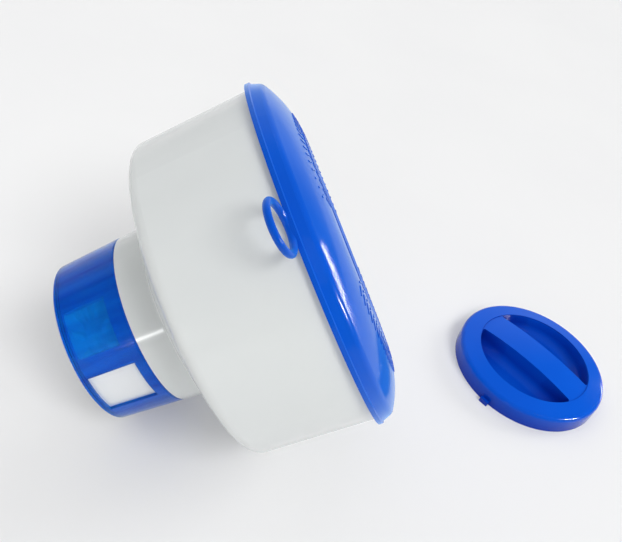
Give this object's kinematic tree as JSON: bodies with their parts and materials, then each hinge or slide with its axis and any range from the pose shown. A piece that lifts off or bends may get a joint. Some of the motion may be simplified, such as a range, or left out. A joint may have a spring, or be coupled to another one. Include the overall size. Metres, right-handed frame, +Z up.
{
  "type": "floating chlorine dispenser",
  "caption": "Floating pool dispenser: white tapered float bowl, blue domed cover with tether eye, canister neck in a blue turning dose collar, bayonet fill cap lying beside it.",
  "frame": {"origin": "floor point under the middle of the whole group's box", "axes": "+Z up from the floor that the opened float and its cap lie on; +X from the float's dosing end towards the loose cap, along the floor, under the float's leaning axis"},
  "size_m": [0.3878, 0.196, 0.1941],
  "materials": {
    "shell_white": "glossy moulded white plastic",
    "canister_white": "glossy moulded white plastic",
    "cover_blue": "glossy moulded blue plastic",
    "cap_blue": "glossy moulded blue plastic",
    "collar_blue": "glossy see-through blue plastic",
    "seal_rubber": "matt pale elastomer"
  },
  "bodies": {
    "float": {"float_bowl": "shell_white", "top_cover": "cover_blue", "cover_gasket": "seal_rubber", "tablet_canister": "canister_white", "canister_top_seal": "seal_rubber", "canister_neck_seal": "seal_rubber", "base_grate": "canister_white"},
    "dose_ring": {"dosing_collar": "collar_blue"},
    "cap_gasket": {"cap_seal": "seal_rubber"},
    "cap": {"fill_cap": "cap_blue"}
  },
  "joints": [
    {"name": "dose_turn", "type": "hinge", "parent": "float", "child": "dose_ring", "pos_m": [-0.15417, 0, 0.0477], "axis": [-0.836, 0, -0.5487], "range_deg": [0, 45.5]},
    {"name": "cap_lift", "type": "slide", "parent": "float", "child": "cap_gasket", "axis": [0, 0, 1], "range_m": [0, 0.12]},
    {"name": "cap_turn", "type": "hinge", "parent": "cap_gasket", "child": "cap", "pos_m": [0.13915, 0.0076, 0], "axis": [0, 0, -1], "range_deg": [0, 35]}
  ]
}
